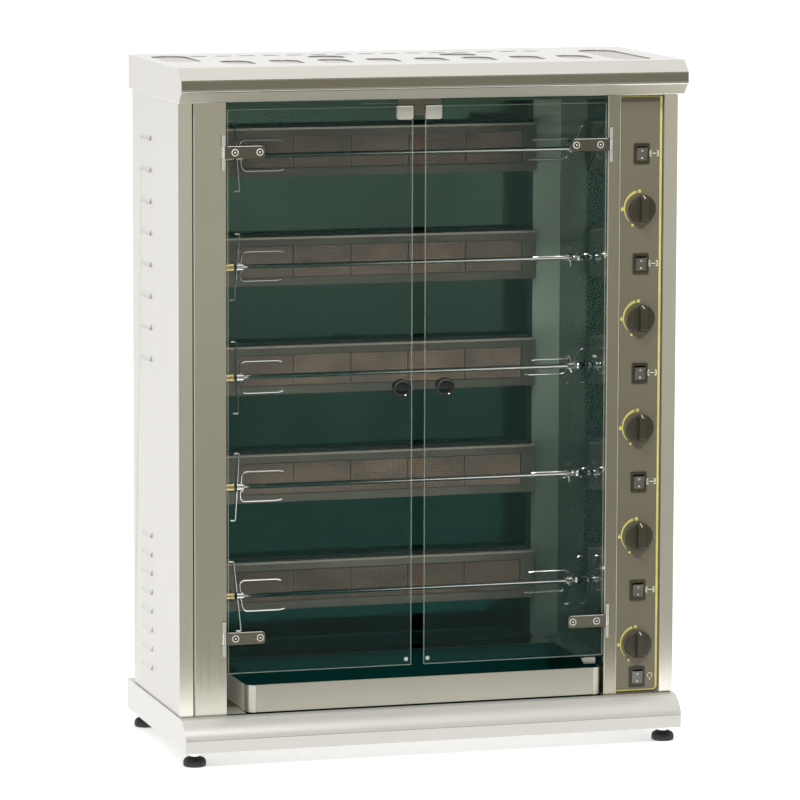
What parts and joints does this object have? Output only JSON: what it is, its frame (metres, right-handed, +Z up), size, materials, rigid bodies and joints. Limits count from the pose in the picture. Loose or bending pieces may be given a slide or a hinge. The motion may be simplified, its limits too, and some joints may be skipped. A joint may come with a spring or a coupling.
{
  "type": "rotisserie oven",
  "caption": "Tall free-standing gas rotisserie oven: driven spits one above another in front of infrared burners, glass doors, knobs and rocker switches at the right.",
  "frame": {"origin": "on the floor, at the centre of the bounding box's bottom face", "axes": "+Z up, the doors and controls face -Y, the controls are at +X"},
  "size_m": [1.116, 0.531, 1.481],
  "materials": {
    "pale_steel": "satin brushed, pale",
    "satin_steel": "satin brushed",
    "mirror_steel": "bright polished sheet",
    "bright_steel": "bright plated",
    "dark_steel": "heat-darkened, dull",
    "control_grey": "grey-brown, satin",
    "black_matte": "moulded, matt",
    "black_gloss": "glossy",
    "black_rubber": "matt",
    "lamp_glass": "frosted",
    "tinted_glass": "tinted, clear"
  },
  "bodies": {
    "cabinet": {"base_plinth": "pale_steel", "left_side_panel": "pale_steel", "right_side_panel": "pale_steel", "back_panel": "pale_steel", "left_post": "satin_steel", "right_post": "satin_steel", "top_hood": "pale_steel", "control_panel": "control_grey", "cavity_liner": "mirror_steel", "cavity_left_wall": "mirror_steel", "cavity_right_wall": "mirror_steel", "burner_1": "dark_steel", "burner_2": "dark_steel", "burner_3": "dark_steel", "burner_4": "dark_steel", "burner_5": "dark_steel", "interior_lamp": "lamp_glass", "door_catch": "satin_steel", "service_rail": "dark_steel"},
    "left_door": {"left_door_glass": "tinted_glass", "left_top_hinge_leaf": "satin_steel", "left_bottom_hinge_leaf": "satin_steel", "left_door_handle": "black_gloss", "left_door_clip": "satin_steel"},
    "right_door": {"right_door_glass": "tinted_glass", "right_top_hinge_leaf": "satin_steel", "right_bottom_hinge_leaf": "satin_steel", "right_door_handle": "black_gloss", "right_door_clip": "satin_steel"},
    "spit_1": {"spit_rod_1": "bright_steel", "left_fork_1": "bright_steel", "right_fork_1": "bright_steel"},
    "spit_2": {"spit_rod_2": "bright_steel", "left_fork_2": "bright_steel", "right_fork_2": "bright_steel"},
    "spit_3": {"spit_rod_3": "bright_steel", "left_fork_3": "bright_steel", "right_fork_3": "bright_steel"},
    "spit_4": {"spit_rod_4": "bright_steel", "left_fork_4": "bright_steel", "right_fork_4": "bright_steel"},
    "spit_5": {"spit_rod_5": "bright_steel", "left_fork_5": "bright_steel", "right_fork_5": "bright_steel"},
    "drip_tray": {"drip_tray": "satin_steel"},
    "gas_knob_1": {"gas_knob_1": "black_matte"},
    "gas_knob_2": {"gas_knob_2": "black_matte"},
    "gas_knob_3": {"gas_knob_3": "black_matte"},
    "gas_knob_4": {"gas_knob_4": "black_matte"},
    "gas_knob_5": {"gas_knob_5": "black_matte"},
    "spit_switch_1": {"spit_switch_1": "black_matte"},
    "spit_switch_2": {"spit_switch_2": "black_matte"},
    "spit_switch_3": {"spit_switch_3": "black_matte"},
    "spit_switch_4": {"spit_switch_4": "black_matte"},
    "spit_switch_5": {"spit_switch_5": "black_matte"},
    "light_switch": {"light_switch": "black_matte"},
    "front_left_foot": {"front_left_foot": "black_rubber"},
    "front_right_foot": {"front_right_foot": "black_rubber"},
    "rear_left_foot": {"rear_left_foot": "black_rubber"},
    "rear_right_foot": {"rear_right_foot": "black_rubber"}
  },
  "joints": [
    {"name": "left_door_hinge", "type": "hinge", "parent": "cabinet", "child": "left_door", "pos_m": [-0.4555, -0.2111, 0.1], "axis": [0, 0, -1], "range_deg": [0, 150]},
    {"name": "right_door_hinge", "type": "hinge", "parent": "cabinet", "child": "right_door", "pos_m": [0.401, -0.2111, 0.1], "axis": [0, 0, 1], "range_deg": [0, 150]},
    {"name": "spit_1_turn", "type": "hinge", "parent": "cabinet", "child": "spit_1", "pos_m": [0, -0.0525, 1.279], "axis": [1, 0, 0], "continuous": true},
    {"name": "spit_2_turn", "type": "hinge", "parent": "cabinet", "child": "spit_2", "pos_m": [0, -0.0525, 1.0415], "axis": [1, 0, 0], "continuous": true},
    {"name": "spit_3_turn", "type": "hinge", "parent": "cabinet", "child": "spit_3", "pos_m": [0, -0.0525, 0.804], "axis": [1, 0, 0], "continuous": true},
    {"name": "spit_4_turn", "type": "hinge", "parent": "cabinet", "child": "spit_4", "pos_m": [0, -0.0525, 0.5665], "axis": [1, 0, 0], "continuous": true},
    {"name": "spit_5_turn", "type": "hinge", "parent": "cabinet", "child": "spit_5", "pos_m": [0, -0.0525, 0.329], "axis": [1, 0, 0], "continuous": true},
    {"name": "drip_tray_slide", "type": "slide", "parent": "cabinet", "child": "drip_tray", "axis": [0, -1, 0], "range_m": [0, 0.3]},
    {"name": "gas_knob_1_turn", "type": "hinge", "parent": "cabinet", "child": "gas_knob_1", "pos_m": [0.471, -0.2075, 1.161], "axis": [0, -1, 0], "range_deg": [0, 150]},
    {"name": "gas_knob_2_turn", "type": "hinge", "parent": "cabinet", "child": "gas_knob_2", "pos_m": [0.471, -0.2075, 0.9235], "axis": [0, -1, 0], "range_deg": [0, 150]},
    {"name": "gas_knob_3_turn", "type": "hinge", "parent": "cabinet", "child": "gas_knob_3", "pos_m": [0.471, -0.2075, 0.686], "axis": [0, -1, 0], "range_deg": [0, 150]},
    {"name": "gas_knob_4_turn", "type": "hinge", "parent": "cabinet", "child": "gas_knob_4", "pos_m": [0.471, -0.2075, 0.4485], "axis": [0, -1, 0], "range_deg": [0, 150]},
    {"name": "gas_knob_5_turn", "type": "hinge", "parent": "cabinet", "child": "gas_knob_5", "pos_m": [0.471, -0.2075, 0.211], "axis": [0, -1, 0], "range_deg": [0, 150]},
    {"name": "spit_switch_1_rock", "type": "hinge", "parent": "cabinet", "child": "spit_switch_1", "pos_m": [0.471, -0.2045, 1.279], "axis": [-1, 0, 0], "range_deg": [0, 14]},
    {"name": "spit_switch_2_rock", "type": "hinge", "parent": "cabinet", "child": "spit_switch_2", "pos_m": [0.471, -0.2045, 1.0415], "axis": [-1, 0, 0], "range_deg": [0, 14]},
    {"name": "spit_switch_3_rock", "type": "hinge", "parent": "cabinet", "child": "spit_switch_3", "pos_m": [0.471, -0.2045, 0.804], "axis": [-1, 0, 0], "range_deg": [0, 14]},
    {"name": "spit_switch_4_rock", "type": "hinge", "parent": "cabinet", "child": "spit_switch_4", "pos_m": [0.471, -0.2045, 0.5665], "axis": [-1, 0, 0], "range_deg": [0, 14]},
    {"name": "spit_switch_5_rock", "type": "hinge", "parent": "cabinet", "child": "spit_switch_5", "pos_m": [0.471, -0.2045, 0.329], "axis": [-1, 0, 0], "range_deg": [0, 14]},
    {"name": "light_switch_rock", "type": "hinge", "parent": "cabinet", "child": "light_switch", "pos_m": [0.471, -0.2045, 0.138], "axis": [-1, 0, 0], "range_deg": [0, 14]},
    {"name": "front_left_foot_turn", "type": "hinge", "parent": "cabinet", "child": "front_left_foot", "pos_m": [-0.525, -0.2275, 0], "axis": [0, 0, 1], "continuous": true},
    {"name": "front_right_foot_turn", "type": "hinge", "parent": "cabinet", "child": "front_right_foot", "pos_m": [0.525, -0.2275, 0], "axis": [0, 0, 1], "continuous": true},
    {"name": "rear_left_foot_turn", "type": "hinge", "parent": "cabinet", "child": "rear_left_foot", "pos_m": [-0.525, 0.2165, 0], "axis": [0, 0, 1], "continuous": true},
    {"name": "rear_right_foot_turn", "type": "hinge", "parent": "cabinet", "child": "rear_right_foot", "pos_m": [0.525, 0.2165, 0], "axis": [0, 0, 1], "continuous": true}
  ]
}
